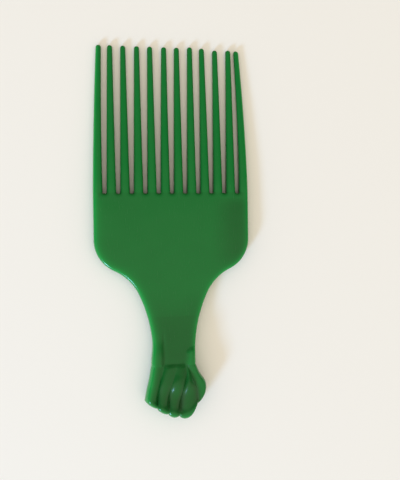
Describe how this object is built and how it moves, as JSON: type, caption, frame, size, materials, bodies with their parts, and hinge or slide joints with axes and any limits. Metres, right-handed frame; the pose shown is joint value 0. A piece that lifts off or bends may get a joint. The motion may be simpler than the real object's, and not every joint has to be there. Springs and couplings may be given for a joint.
{
  "type": "afro pick",
  "caption": "Wide-toothed hair pick moulded in one piece, with long tapered teeth on a rounded plate and a handle shaped as a clenched fist.",
  "frame": {"origin": "on the centreline of the comb plate, where the line of the slot floors meets the plate's flat back face", "axes": "+X to the right across the plate, +Y along the teeth towards their tips, +Z out of the front face; the pick lies flat"},
  "size_m": [0.076, 0.1819, 0.0108],
  "materials": {
    "green_plastic": "polished injection moulding"
  },
  "bodies": {
    "root": {"tooth_01": "green_plastic", "tooth_02": "green_plastic", "tooth_03": "green_plastic", "tooth_04": "green_plastic", "tooth_05": "green_plastic", "tooth_06": "green_plastic", "tooth_07": "green_plastic", "tooth_08": "green_plastic", "tooth_09": "green_plastic", "tooth_10": "green_plastic", "tooth_11": "green_plastic", "tooth_12": "green_plastic", "comb_plate": "green_plastic", "neck": "green_plastic", "wrist": "green_plastic", "little_finger": "green_plastic", "ring_finger": "green_plastic", "middle_finger": "green_plastic", "index_finger": "green_plastic", "thumb": "green_plastic"}
  },
  "joints": []
}
